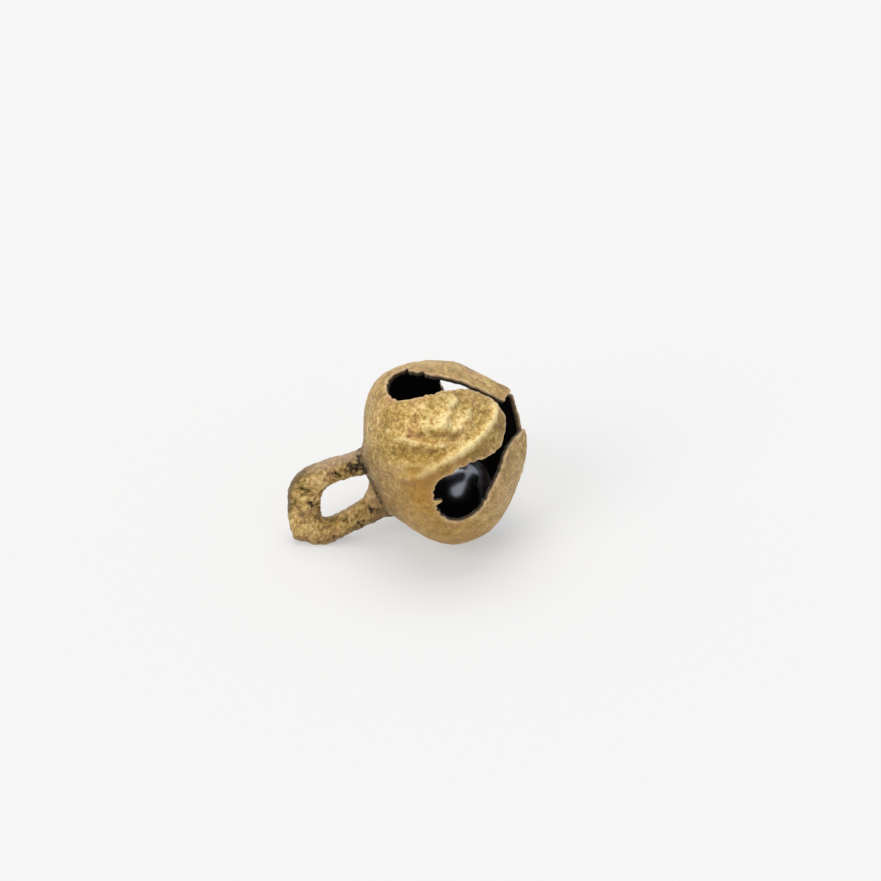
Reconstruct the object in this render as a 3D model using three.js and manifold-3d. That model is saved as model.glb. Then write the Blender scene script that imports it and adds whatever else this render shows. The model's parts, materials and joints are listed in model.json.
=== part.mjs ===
// A cast brass ghungroo ankle bell, lying on its side as it was put down on a table.
// A hollow crown opens into four petals with teardrop slots between them, a hanging loop
// stands on the crown, and a loose steel pellet rattles inside.
//
// Millimetres, +Z up. The bell is drawn upright about its own axis, with the loop up and
// height 0 at the belly, the widest level. It is then laid over until the belly and the
// loop both touch the table. The origin is the middle of its underside.

import * as THREE from 'three';
import { mergeVertices } from 'three/addons/utils/BufferGeometryUtils.js';
import Module from 'manifold-3d';

// Shell
const BELLY_RADIUS = 9.0;
const CROWN_HEIGHT = 6.0;
const CROWN_FULLNESS = 2.4;
const LAND_MARGIN = 0.1;
const MOUTH_DEPTH = 8.8;
const UPPER_PETAL_LIFT = 0.5;
const MOUTH_FULLNESS = 1.6;
const WALL = 0.6;

// Slots, with heights from the belly
const SLOT_WIDTH = 4.5;
const SLOT_TOP = 1.2;
const SLOT_SHOULDER = -0.8;
const SLOT_WAIST = -3.6;
const REAR_SLOT_TOP = -2.4;
const REAR_SLOT_SHOULDER = -3.4;
const REAR_SLOT_WAIST = -4.8;
const SLIT_TOP = -6.9;
const SLIT_WIDTH = 0.35;
const SLOT_TURN = THREE.MathUtils.degToRad(-4.5);
const MOUTH_STAR_RADIUS = 4.8;
const PETAL_SEAM = 0.1;

// Hanging loop, with lengths from its foot
const LOOP_LENGTH = 8.9;
const LOOP_WIDTH = 7.1;
const LOOP_FOOT_WIDTH = 6.7;
const LOOP_DEPTH = 2.2;
const LOOP_CORNER = 2.8;
const LOOP_EDGE = 0.7;
const EYE_START = 0.8;
const EYE_LENGTH = 5.4;
const EYE_WIDTH = 3.2;
const BRAZE_GAP = 0.1;
const LOOP_TURN = THREE.MathUtils.degToRad(20);

// Pellet
const PELLET_OVERSIZE = 2.5;
const PELLET_GAP = 0.3;

// Wear where the bell rubs on the table
const FLOOR_WEAR = 0.15;

// Fineness of the facets, and of the search for the tilt
const TURN_STEPS = 48;
const PROFILE_STEPS = 12;
const CURVE_STEPS = 8;
const STAR_STEPS = 40;
const EDGE_STEPS = 3;
const PELLET_TURN_STEPS = 24;
const PELLET_RING_STEPS = 16;
const WELD = 1e-5;
const STEEPEST_TILT = Math.PI / 3;
const TILT_STEPS = 40;

const QUARTER_TURN = Math.PI / 2;

const LAND_RADIUS = Math.hypot(LOOP_FOOT_WIDTH / 2, LOOP_DEPTH / 2) + LAND_MARGIN;
const PELLET_RADIUS = (SLOT_WIDTH + PELLET_OVERSIZE) / 2;
const OUTSIDE = 2 * (BELLY_RADIUS + CROWN_HEIGHT + LOOP_LENGTH);

// Petals in turn about the axis, each with its depth and the slot before it. The upper rear petal
// is bent in less than the others, and the rear slot was cut shorter.
const LONG_SLOT = { top: SLOT_TOP, shoulder: SLOT_SHOULDER, waist: SLOT_WAIST };
const REAR_SLOT = { top: REAR_SLOT_TOP, shoulder: REAR_SLOT_SHOULDER, waist: REAR_SLOT_WAIST };
const PETALS = [
  { name: 'petal_upper_rear', depth: MOUTH_DEPTH + UPPER_PETAL_LIFT, slot: LONG_SLOT },
  { name: 'petal_lower_rear', depth: MOUTH_DEPTH, slot: REAR_SLOT },
  { name: 'petal_lower_front', depth: MOUTH_DEPTH, slot: LONG_SLOT },
  { name: 'petal_upper_front', depth: MOUTH_DEPTH, slot: LONG_SLOT },
];

const wasm = await Module();
wasm.setup();

const brass = new THREE.MeshStandardMaterial({ color: 0x9c7a3a, roughness: 0.55, metalness: 1 });
const wornBrass = new THREE.MeshStandardMaterial({ color: 0x84693a, roughness: 0.65, metalness: 1 });
const steel = new THREE.MeshStandardMaterial({ color: 0x5c6068, roughness: 0.2, metalness: 1 });

// A closed geometry becomes a solid that can be joined and cut.
function solid(geometry) {
  const bare = geometry.index ? geometry.toNonIndexed() : geometry.clone();
  bare.deleteAttribute('normal');
  bare.deleteAttribute('uv');
  const merged = mergeVertices(bare, WELD);
  const vertProperties = new Float32Array(merged.attributes.position.array);
  const triVerts = new Uint32Array(merged.index.array);
  return new wasm.Manifold(new wasm.Mesh({ numProp: 3, vertProperties, triVerts }));
}

function geometryOf(cutSolid) {
  const mesh = cutSolid.getMesh();
  const geometry = new THREE.BufferGeometry();
  geometry.setAttribute('position', new THREE.BufferAttribute(mesh.vertProperties, 3));
  geometry.setIndex(new THREE.BufferAttribute(mesh.triVerts, 1));
  return geometry;
}

// The bell's outline up from the mouth: petals that swell to the belly, a crown that rises
// and draws in from it, and a flat land on top for the loop.
function bellBlank(belly, crown, land, mouth) {
  const points = [new THREE.Vector2(0, -mouth)];
  for (let step = 1; step < PROFILE_STEPS; step++) {
    const angle = (step / PROFILE_STEPS) * QUARTER_TURN;
    const depth = mouth * Math.cos(angle);
    const radius = belly * Math.sin(angle) ** (2 / MOUTH_FULLNESS);
    points.push(new THREE.Vector2(radius, -depth));
  }
  for (let step = 0; step <= PROFILE_STEPS; step++) {
    const share = step / PROFILE_STEPS;
    const radius = belly - (belly - land) * share ** CROWN_FULLNESS;
    points.push(new THREE.Vector2(radius, crown * share));
  }
  points.push(new THREE.Vector2(0, crown));
  const lathe = new THREE.LatheGeometry(points, TURN_STEPS);
  return solid(lathe.rotateX(QUARTER_TURN));
}

// A block that fills everything between two heights on the bell's axis.
function levelBlock(low, high) {
  const block = new THREE.BoxGeometry(OUTSIDE, OUTSIDE, high - low);
  return solid(block.translate(0, 0, (low + high) / 2));
}

// The teardrop slot, drawn across and up, and pushed outwards from the axis.
function slotCutter(slot, azimuth) {
  const half = SLOT_WIDTH / 2;
  const slit = SLIT_WIDTH / 2;
  const outline = new THREE.Shape();
  outline.moveTo(slit, -OUTSIDE / 2);
  outline.lineTo(slit, SLIT_TOP);
  outline.quadraticCurveTo(half, slot.waist, half, slot.shoulder);
  outline.absellipse(0, slot.shoulder, half, slot.top - slot.shoulder, 0, Math.PI, false);
  outline.quadraticCurveTo(-half, slot.waist, -slit, SLIT_TOP);
  outline.lineTo(-slit, -OUTSIDE / 2);
  const settings = { depth: OUTSIDE / 2, bevelEnabled: false, curveSegments: CURVE_STEPS };
  const cutter = new THREE.ExtrudeGeometry(outline, settings);
  return solid(cutter.rotateX(QUARTER_TURN).rotateZ(QUARTER_TURN + azimuth));
}

function slotAzimuth(turn) {
  return SLOT_TURN + turn * QUARTER_TURN;
}

// The open middle of the mouth: a star with a point in each slot, which leaves every petal
// with a rounded tip.
function mouthCutter() {
  const outline = new THREE.Shape();
  for (let step = 0; step < STAR_STEPS; step++) {
    const angle = (step / STAR_STEPS) * 2 * Math.PI;
    const x = MOUTH_STAR_RADIUS * Math.cos(angle) ** 3;
    const y = MOUTH_STAR_RADIUS * Math.sin(angle) ** 3;
    if (step === 0) outline.moveTo(x, y);
    else outline.lineTo(x, y);
  }
  const settings = { depth: OUTSIDE / 2, bevelEnabled: false };
  const cutter = new THREE.ExtrudeGeometry(outline, settings);
  return solid(cutter.translate(0, 0, -OUTSIDE / 2).rotateZ(SLOT_TURN));
}

function shellSolid(depth) {
  const outside = bellBlank(BELLY_RADIUS, CROWN_HEIGHT, LAND_RADIUS, depth);
  const cavity = bellBlank(BELLY_RADIUS - WALL, CROWN_HEIGHT - WALL, LAND_RADIUS - WALL, depth - WALL);
  let shell = outside.subtract(cavity).subtract(mouthCutter());
  PETALS.forEach((petal, turn) => {
    shell = shell.subtract(slotCutter(petal.slot, slotAzimuth(turn)));
  });
  return shell;
}

// The loop: a flat eye with a blunt end and rounded edges. Its foot is cut square, to stand
// on the crown's land.
function loopSolid() {
  const half = LOOP_WIDTH / 2;
  const foot = LOOP_FOOT_WIDTH / 2;
  const outline = new THREE.Shape();
  const root = -2 * LOOP_EDGE;
  outline.moveTo(-foot, root);
  outline.lineTo(foot, root);
  const cornerLevel = LOOP_LENGTH - LOOP_CORNER;
  outline.lineTo(half, cornerLevel);
  outline.absarc(half - LOOP_CORNER, cornerLevel, LOOP_CORNER, 0, QUARTER_TURN, false);
  outline.absarc(LOOP_CORNER - half, cornerLevel, LOOP_CORNER, QUARTER_TURN, Math.PI, false);
  const eye = new THREE.Path();
  const eyeMiddle = EYE_START + EYE_LENGTH / 2;
  eye.absellipse(0, eyeMiddle, EYE_WIDTH / 2, EYE_LENGTH / 2, 0, 2 * Math.PI, true);
  outline.holes.push(eye);
  const settings = {
    depth: LOOP_DEPTH - 2 * LOOP_EDGE,
    bevelSize: LOOP_EDGE,
    bevelOffset: -LOOP_EDGE,
    bevelThickness: LOOP_EDGE,
    bevelSegments: EDGE_STEPS,
    curveSegments: CURVE_STEPS,
  };
  const loop = new THREE.ExtrudeGeometry(outline, settings);
  loop.translate(0, 0, LOOP_EDGE - LOOP_DEPTH / 2);
  loop.rotateX(QUARTER_TURN).rotateZ(LOOP_TURN);
  const footLevel = CROWN_HEIGHT + BRAZE_GAP;
  return solid(loop.translate(0, 0, footLevel)).intersect(levelBlock(footLevel, OUTSIDE));
}

// Lowest height of a solid once the bell is laid over by a tilt of its axis from level.
function lowestPoint(cutSolid, tilt) {
  const { vertProperties } = cutSolid.getMesh();
  let lowest = Infinity;
  for (let i = 0; i < vertProperties.length; i += 3) {
    const height = vertProperties[i] * Math.cos(tilt) - vertProperties[i + 2] * Math.sin(tilt);
    lowest = Math.min(lowest, height);
  }
  return lowest;
}

// The tilt at which the shell and the loop reach the table together.
function restingTilt(shell, loop) {
  let level = 0;
  let steep = STEEPEST_TILT;
  for (let step = 0; step < TILT_STEPS; step++) {
    const tilt = (level + steep) / 2;
    if (lowestPoint(loop, tilt) > lowestPoint(shell, tilt)) level = tilt;
    else steep = tilt;
  }
  return level;
}

const uprightShell = shellSolid(MOUTH_DEPTH);
const uprightLoop = loopSolid();
const tilt = restingTilt(uprightShell, uprightLoop);
const layOver = -(QUARTER_TURN + tilt);

// Everything below the worn level is rubbed off, in the upright bell's own frame.
const wornLevel = lowestPoint(uprightShell, tilt) + FLOOR_WEAR;
const tableBlock = new THREE.BoxGeometry(OUTSIDE, OUTSIDE, OUTSIDE);
const table = solid(tableBlock.translate(0, 0, wornLevel - OUTSIDE / 2).rotateY(-layOver));

const loop = uprightLoop.subtract(table);

const bell = new THREE.Group();
bell.rotation.y = layOver;

function addPiece(name, geometry, material) {
  const piece = new THREE.Mesh(geometry, material);
  piece.name = name;
  bell.add(piece);
  return piece;
}

// The crown ends where the slots' round ends stop, and each petal hangs below it.
const crown = uprightShell.intersect(levelBlock(SLOT_SHOULDER, OUTSIDE)).subtract(table);
addPiece('crown', geometryOf(crown), brass);

const belowCrown = levelBlock(-OUTSIDE, SLOT_SHOULDER - PETAL_SEAM);
PETALS.forEach((petal, turn) => {
  const inset = (OUTSIDE + PETAL_SEAM) / 2;
  const quarter = new THREE.BoxGeometry(OUTSIDE, OUTSIDE, OUTSIDE);
  quarter.translate(inset, inset, 0).rotateZ(slotAzimuth(turn));
  const skirt = shellSolid(petal.depth).intersect(belowCrown).subtract(table);
  addPiece(petal.name, geometryOf(skirt.intersect(solid(quarter))), brass);
});

addPiece('hanging_loop', geometryOf(loop), wornBrass);

const pelletReach = BELLY_RADIUS - WALL - PELLET_RADIUS - PELLET_GAP;
const ball = new THREE.SphereGeometry(PELLET_RADIUS, PELLET_TURN_STEPS, PELLET_RING_STEPS);
const pellet = addPiece('pellet', ball, steel);
pellet.position.x = -pelletReach;

// The laid bell is moved so that the middle of its underside is the origin.
bell.updateMatrixWorld(true);
const box = new THREE.Box3().setFromObject(bell, true);
const middle = box.getCenter(new THREE.Vector3());
bell.position.set(-middle.x, -middle.y, -box.min.z);

const ghungroo = new THREE.Group();
ghungroo.add(bell);

export default ghungroo;
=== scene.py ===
# %% [markdown]
# # A ghungroo, an ankle bell of old cast brass
# A ghungroo is a hollow brass bell the size of a cherry, sewn in rows on a dancer's anklet. Its wall is cut
# into four petals by teardrop slots, a flat loop on its crown takes the cord, and a steel pellet rattles
# inside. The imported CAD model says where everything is. This lesson makes the looks: a rolled-up shell with
# ragged slots, a pitted loop, a dark steel pellet and the finishes of worn metal.

import json
import math

import bpy
import numpy as np
from mathutils import Matrix, Vector


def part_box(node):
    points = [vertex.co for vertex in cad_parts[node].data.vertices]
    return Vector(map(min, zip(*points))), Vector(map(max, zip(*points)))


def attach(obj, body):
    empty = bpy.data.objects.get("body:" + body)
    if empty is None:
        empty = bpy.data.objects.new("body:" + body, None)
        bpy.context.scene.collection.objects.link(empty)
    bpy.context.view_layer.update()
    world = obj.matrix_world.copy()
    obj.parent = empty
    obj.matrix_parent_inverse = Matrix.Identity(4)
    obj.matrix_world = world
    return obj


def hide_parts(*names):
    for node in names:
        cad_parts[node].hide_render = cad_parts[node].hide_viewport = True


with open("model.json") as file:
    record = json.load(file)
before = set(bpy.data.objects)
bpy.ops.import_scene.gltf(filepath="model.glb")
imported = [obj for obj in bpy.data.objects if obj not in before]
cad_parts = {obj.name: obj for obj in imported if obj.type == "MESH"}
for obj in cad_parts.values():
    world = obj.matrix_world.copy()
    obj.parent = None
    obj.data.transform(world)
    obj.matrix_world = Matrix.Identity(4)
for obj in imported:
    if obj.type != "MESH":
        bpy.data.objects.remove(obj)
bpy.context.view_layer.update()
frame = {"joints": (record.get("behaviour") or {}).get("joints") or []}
MM = 0.001

# %% [markdown]
# ## Where the bell lies
# The bell lies on its side, with its mouth tipped up. It is easier to model standing on its mouth, with its
# axis along Z and the belly at height 0, and to lay it down at the end. The tilt could be typed in, but the
# frame already knows it: the pellet's slide runs straight across the belly, from the resting pellet upwards.

# %% Frame of the standing bell
rattle = next(joint for joint in frame["joints"] if joint["name"] == "pellet_rattle")
pellet_low, pellet_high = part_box("pellet")
pellet_centre = (pellet_low + pellet_high) / 2
pellet_radius = (pellet_high.y - pellet_low.y) / 2
across = Vector(rattle["axis"])
rearwards = Vector((0, 1, 0))
to_loop = across.cross(rearwards)
belly_centre = pellet_centre + across * rattle["range_m"][1] / 2
lay_down = Matrix((across, rearwards, to_loop)).transposed()
print("belly centre in mm:", [round(v / MM, 2) for v in belly_centre])

# %% [markdown]
# ## Camera
# The bell is seen from a little above, almost square to its axis. The angles were found by laying the bell's
# outline over the picture. A long lens from 300 mm away keeps the perspective as gentle as in a close-up.

# %% Camera at the picture's angle
PICTURE_PIXELS = 881
PIXELS_PER_MM = 10.58
BELL_PIXEL = (405.0, 454.0)
azimuth = math.radians(-6)
elevation = math.radians(31)
distance = 300 * MM
MIDDLE_HEIGHT = 8.5 * MM
toward_camera = Vector((
    math.sin(azimuth) * math.cos(elevation),
    -math.cos(azimuth) * math.cos(elevation),
    math.sin(elevation),
))
rightwards = Vector((math.cos(azimuth), math.sin(azimuth), 0))
upwards = toward_camera.cross(rightwards)
bell_middle = Vector((0, 0, MIDDLE_HEIGHT))
aim = bell_middle + rightwards * (PICTURE_PIXELS / 2 - BELL_PIXEL[0]) / PIXELS_PER_MM * MM
aim += upwards * (BELL_PIXEL[1] - PICTURE_PIXELS / 2) / PIXELS_PER_MM * MM
camera_data = bpy.data.cameras.new("camera")
camera = bpy.data.objects.new("camera", camera_data)
bpy.context.scene.collection.objects.link(camera)
camera_data.lens = camera_data.sensor_width * distance / MM * PIXELS_PER_MM / PICTURE_PIXELS
camera_data.clip_start = 0.01
camera.location = aim + toward_camera * distance
camera.rotation_mode = "QUATERNION"
camera.rotation_quaternion = (-toward_camera).to_track_quat("-Z", "Y")
bpy.context.scene.camera = camera
bpy.context.scene.view_settings.view_transform = "Standard"
print("lens in mm:", round(camera_data.lens, 1))

# %% [markdown]
# ## Light
# The picture has the even light of a white tent: pale from all round, stronger from above on the left, with a
# faint shadow close under the bell. A white world does most of it, and two large lamps give the direction.

# %% Studio
world = bpy.data.worlds.new("white_tent")
world.use_nodes = True
world.node_tree.nodes["Background"].inputs["Color"].default_value = (0.97, 0.98, 1.0, 1)
world.node_tree.nodes["Background"].inputs["Strength"].default_value = 0.6
bpy.context.scene.world = world


def soft_lamp(name, direction, spread_degrees, strength, colour):
    """A lamp too far away to fall off across the floor, and wide enough for soft shadows."""
    lamp_data = bpy.data.lights.new(name, "SUN")
    lamp_data.angle = math.radians(spread_degrees)
    lamp_data.energy = strength
    lamp_data.color = colour
    lamp = bpy.data.objects.new(name, lamp_data)
    lamp.rotation_mode = "QUATERNION"
    lamp.rotation_quaternion = (-Vector(direction)).to_track_quat("-Z", "Y")
    bpy.context.scene.collection.objects.link(lamp)
    return lamp


soft_lamp("lamp_above", (0.0, 0.3, 1.0), 50, 1.7, (1.0, 0.98, 0.95))
soft_lamp("lamp_left", (-0.9, -0.7, 0.8), 35, 1.2, (1.0, 0.98, 0.96))
print("world and", len(bpy.data.lights), "lamps")

# %% [markdown]
# ## Steps in a tree
# Finishes and rules are both node trees here. They could be put together by hand in the editor, but a script
# shows every step, and a few helpers keep it short.

# %% Helpers for steps


def feed(tree, socket, value):
    """Links a node's output to a socket, or sets the socket if the value is plain."""
    if isinstance(value, bpy.types.NodeSocket):
        tree.links.new(value, socket)
    else:
        socket.default_value = value


def calc(tree, operation, *values):
    """One step of arithmetic in a tree."""
    node = tree.nodes.new("ShaderNodeMath")
    node.operation = operation
    for socket, value in zip(node.inputs, values):
        feed(tree, socket, value)
    return node.outputs[0]


print("made feed and calc")

# %% [markdown]
# ## Floor
# The floor is a plain pale sheet. In the picture the sheet is so bright that its shadows are washed out. A
# brighter lamp would wash out the bell as well, so the sheet itself glows a little, but only where the camera
# sees it, straight or mirrored in the metal.

# %% Pale sheet
floor_mesh = bpy.data.meshes.new("floor")
FLOOR_HALF = 1.5
floor_corners = [(-1, -1), (1, -1), (1, 1), (-1, 1)]
floor_mesh.from_pydata([(x * FLOOR_HALF, y * FLOOR_HALF, 0) for x, y in floor_corners], [], [(0, 1, 2, 3)])
floor = bpy.data.objects.new("floor", floor_mesh)
bpy.context.scene.collection.objects.link(floor)
floor_material = bpy.data.materials.new("pale_sheet")
floor_material.use_nodes = True
floor_tree = floor_material.node_tree
floor_shader = floor_tree.nodes["Principled BSDF"]
SHEET_COLOUR = 0.76
SHEET_GLOW = 0.42
ray = floor_tree.nodes.new("ShaderNodeLightPath")
seen = ray.outputs["Is Camera Ray"]
for kind in ("Is Glossy Ray", "Is Transmission Ray"):
    seen = calc(floor_tree, "MAXIMUM", seen, ray.outputs[kind])
paler = calc(floor_tree, "MULTIPLY_ADD", seen, -SHEET_COLOUR / 2, SHEET_COLOUR)
feed(floor_tree, floor_shader.inputs["Base Color"], paler)
feed(floor_tree, floor_shader.inputs["Emission Strength"], calc(floor_tree, "MULTIPLY", seen, SHEET_GLOW))
floor_shader.inputs["Emission Color"].default_value = (1, 1, 1, 1)
floor_shader.inputs["Roughness"].default_value = 0.9
floor_shader.inputs["Specular IOR Level"].default_value = 0.1
floor_mesh.materials.append(floor_material)
print("floor of", 2 * FLOOR_HALF, "m")

# %% [markdown]
# ## The shell's rule
# The shell is a body of revolution. Below the belly it closes to the mouth on a superellipse, and above the
# belly it draws in to a small round land where the loop stands. The flat pattern has degrees round the bell
# across the page and the way along the wall up the page, so it can be drawn like a paper cut-out.

# %% Sizes of the shell, in mm
BELLY = 8.95
CROWN_HEIGHT = 6.0
CROWN_FULLNESS = 2.45
LAND = 3.6
MOUTH_DEPTH = 8.8
MOUTH_FULLNESS = 1.6
MOUTH_RUN = 9.0
WALL = 0.5


def flat_point(angle, height):
    """The pattern's point for a place on the bell, in degrees round it and mm above its belly."""
    along = height
    if height < 0:
        along = -MOUTH_RUN * math.asin(-height / MOUTH_DEPTH)
    return math.radians(angle) * BELLY, along


def wall_radius(along):
    """Distance from the bell's axis, for places along the wall on the pattern."""
    crown_share = np.clip(along / CROWN_HEIGHT, 0, 1)
    crown = BELLY - (BELLY - LAND) * crown_share**CROWN_FULLNESS - np.maximum(along - CROWN_HEIGHT, 0)
    mouth = BELLY * np.cos(np.minimum(along, 0) / MOUTH_RUN) ** (2 / MOUTH_FULLNESS)
    return np.where(along > 0, crown, mouth)


print("radius at the land, belly and mouth:", wall_radius(np.array([6.0, 0.0, -10.0])).round(2))

# %% [markdown]
# ## Slots and petals on the flat pattern
# The founder cut four slots by hand, so each is its own teardrop. A slot is given by its two edges, from
# its widest place down to the shoulders of the petal tips. Its round nose is half an ellipse, and each
# petal's tip is a shallow bow. Cutting a finished shell with solids could make them too, but then the mesh
# is ragged where it should be clean. Here the grid runs along every edge, so each rim is one smooth row of
# faces.

# %% Edges of the four slots: height in mm above the belly, degrees round the bell from its upper side
SLOTS = {
    "top": {
        "nose": 0.95,
        "low": [(-1.0, -21.5), (-1.9, -22), (-2.8, -22), (-3.8, -20.5), (-5.0, -19), (-5.9, -17.5),
                (-6.6, -18.5), (-7.1, -21), (-7.5, -25)],
        "high": [(-0.7, 11.5), (-1.6, 7), (-2.6, 1.5), (-3.6, -3), (-4.6, -5), (-5.6, -7), (-6.5, -10.5),
                 (-7.3, -14), (-7.9, -17.5), (-8.2, -20)],
    },
    "rear": {
        "nose": -2.4,
        "low": [(-3.3, 68), (-4.2, 71), (-5.0, 76), (-5.8, 80), (-6.6, 80), (-7.2, 77), (-7.6, 73)],
        "high": [(-3.3, 102), (-4.2, 99), (-5.0, 94), (-5.8, 90), (-6.6, 88), (-7.3, 86), (-8.0, 83)],
    },
    "bottom": {
        "nose": 1.1,
        "low": [(-1.2, 160), (-2.5, 161), (-3.5, 164), (-4.5, 168), (-5.5, 171), (-6.5, 173),
                (-7.3, 171), (-7.7, 166)],
        "high": [(-1.2, 191), (-2.5, 191), (-3.5, 188), (-4.5, 185), (-5.5, 181.5), (-6.5, 180),
                 (-7.3, 181), (-7.8, 185)],
    },
    "front": {
        "nose": 1.0,
        "low": [(-1.2, 249.5), (-2.2, 249.5), (-3.2, 252), (-3.9, 255.5), (-4.7, 258), (-5.4, 260),
                (-6.1, 264), (-6.7, 267.5), (-7.3, 268.5), (-7.9, 265)],
        "high": [(-1.0, 285), (-2.2, 284.5), (-3.2, 285), (-4.4, 282.5), (-5.3, 280), (-6.2, 278),
                 (-6.8, 280), (-7.4, 286)],
    },
}
TIP_RADIUS = {"upper_rear": 2.0, "lower_rear": 2.8, "lower_front": 1.5, "upper_front": 3.1}
order = list(SLOTS)
petal_names = list(TIP_RADIUS)
print("slots:", ", ".join(order))
print("petals:", ", ".join(petal_names))

# %% Curves for the edges
SPAN_STEPS = 24


def smooth_line(points, count):
    """Evenly spaced points on a smooth curve through the given ones."""
    drawn = np.array(points, float)
    padded = np.vstack([2 * drawn[0] - drawn[1], drawn, 2 * drawn[-1] - drawn[-2]])
    t = np.linspace(0, 1, SPAN_STEPS, endpoint=False)[:, None]
    spans = []
    for before, start, end, beyond in zip(padded, padded[1:], padded[2:], padded[3:]):
        second = 2 * before - 5 * start + 4 * end - beyond
        third = 3 * start - before - 3 * end + beyond
        spans.append(0.5 * (2 * start + (end - before) * t + (second * t**2 + third * t**3)))
    fine = np.vstack(spans + [drawn[-1:]])
    run = np.concatenate([[0], np.cumsum(np.linalg.norm(np.diff(fine, axis=0), axis=1))])
    even = np.linspace(0, run[-1], count)
    return np.stack([np.interp(even, run, fine[:, k]) for k in range(drawn.shape[1])], 1)


def drawn_line(places, count):
    """A smooth line on the pattern through places given by height in mm and degrees round the bell."""
    return smooth_line([flat_point(angle, height) for height, angle in places], count)


circle = [(math.cos(turn), math.sin(turn)) for turn in np.linspace(0, 2 * math.pi, 9)]
off_circle = np.abs(np.linalg.norm(smooth_line(circle, 200), axis=1) - 1).max()
print("a curve through 8 points of a circle strays by", round(100 * off_circle, 1), "% of its radius")

# %% Arches for noses and tips
HALF_ELLIPSE = 0.5
BOW = 1


def arch(start, end, peak, count, steepness):
    """A curve from start to end that reaches the height peak in its middle."""
    t = np.linspace(0, 1, count)
    chord = np.array(start) + np.outer(t, np.array(end) - np.array(start))
    chord[:, 1] += (peak - chord[:, 1]) * (1 - (2 * t - 1) ** 2) ** steepness
    return chord


for steepness in (HALF_ELLIPSE, BOW):
    early = arch((0, 0), (4, 0), 1, 5, steepness)[1, 1]
    print("a rise of 1 with steepness", steepness, "is at a quarter of its run", early.round(2), "high")

# %% [markdown]
# ## Torn edges
# Old slots aren't clean cuts. Each edge waves a little where the metal tore, one burr stands in the nose of
# the front slot, and the rear edge of the top slot has two nicks. Noise on the finished rim would do, but
# it would fold thin faces over each other. Here an edge moves only along the lines of the grid that it
# belongs to.

# %% Ways to tear an edge
SLOWEST_WAVE = 4
TAPER = 10
PETAL_ROWS = 66


def shifted(line, towards, amounts):
    """The line moved towards another one, along the grid's own lines, so that none of them cross."""
    run = towards - line
    return line + run / np.linalg.norm(run, axis=1)[:, None] * amounts[:, None]


def ragged(line, towards, size, seed, waves):
    """The line with a torn edge: smooth seeded waves, up to so many along it, none at its ends."""
    dice = np.random.RandomState(seed)
    t = np.linspace(0, 1, len(line))
    tear = np.zeros(len(line))
    for wave in range(SLOWEST_WAVE, waves + 1):
        tear += dice.normal() / (1 + 0.1 * wave) * np.sin(2 * math.pi * (wave * t + dice.uniform()))
    return shifted(line, towards, size * tear * np.clip(np.minimum(t, 1 - t) * TAPER, 0, 1) / 2)


def nick(line, towards, share, depth, breadth):
    """The line with one notch, or a burr if the depth is negative, at a share of its length."""
    t = np.linspace(0, 1, len(line))
    return shifted(line, towards, depth * np.exp(-(((t - share) / breadth) ** 2)))


straight = np.column_stack([np.zeros(PETAL_ROWS), np.linspace(0, 8, PETAL_ROWS)])
torn = ragged(straight, straight + np.array([5, 0]), 0.1, 1, 17)
print("a straight edge tears by up to", np.abs(torn[:, 0]).max().round(2), "mm")

# %% Edges of the pattern
PETAL_COLUMNS = 52
SLOT_COLUMNS = 56
CROWN_ROWS = 48
WHOLE_TURN = np.array([2 * math.pi * BELLY, 0])
LAST = len(order) - 1
pole = CROWN_HEIGHT + LAND
noses = []
low_edges = []
high_edges = []
for name in order:
    slot = SLOTS[name]
    low_edges.append(drawn_line(slot["low"], PETAL_ROWS + 1))
    high_edges.append(drawn_line(slot["high"], PETAL_ROWS + 1))
    nose_height = flat_point(0, slot["nose"])[1]
    noses.append(arch(low_edges[-1][0], high_edges[-1][0], nose_height, SLOT_COLUMNS + 1, HALF_ELLIPSE))


def after(number):
    """The number of the next slot round the bell, and the turn to add if that is the first one again."""
    return (number + 1) % len(order), WHOLE_TURN if number == LAST else 0


print("edges with", PETAL_ROWS + 1, "points each")

# %% Tips of the petals, and tears
TEAR = {"top": 0.085, "rear": 0.055, "bottom": 0.055, "front": 0.085}
PETAL_WAVES = 17
NOSE_WAVES = 12
LEFT_SEED = 60
RIGHT_SEED = 40
NOSE_SEED = 20
BURR = {"share": 0.63, "depth": -0.8, "breadth": 0.035}
NICKS = [{"share": 0.06, "depth": 0.7, "breadth": 0.016}, {"share": 0.24, "depth": 0.4, "breadth": 0.016}]
tips = []
for number, name in enumerate(petal_names):
    beyond, turned = after(number)
    left = high_edges[number]
    right = low_edges[beyond] + turned
    tip_share = (TIP_RADIUS[name] / BELLY) ** (MOUTH_FULLNESS / 2)
    peak = -MOUTH_RUN * (math.pi / 2 - math.asin(tip_share))
    tips.append(arch(left[-1], right[-1], peak, PETAL_COLUMNS + 1, BOW))
    torn_left = ragged(left, right, TEAR[order[number]], LEFT_SEED + number, PETAL_WAVES)
    torn_right = ragged(right, left, TEAR[order[beyond]], RIGHT_SEED + number, PETAL_WAVES)
    high_edges[number] = torn_left
    low_edges[beyond] = torn_right - turned
for number, name in enumerate(order):
    crown_side = np.column_stack([noses[number][:, 0], np.full(SLOT_COLUMNS + 1, pole)])
    noses[number] = ragged(noses[number], crown_side, TEAR[name], NOSE_SEED + number, NOSE_WAVES)
    if name == "front":
        noses[number] = nick(noses[number], crown_side, **BURR)
for notch in NICKS:
    high_edges[0] = nick(high_edges[0], low_edges[1], **notch)
print(len(tips), "tips,", len(NICKS), "nicks and a burr")

# %% [markdown]
# ## The flat blank
# The blank is a grid of four-sided faces. The crown is one band all the way round, whose lower row lies on
# the noses. Each petal is a patch stretched between its two edges and its tip, filled like a soap film
# between four wires, which is called a Coons patch.

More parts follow.
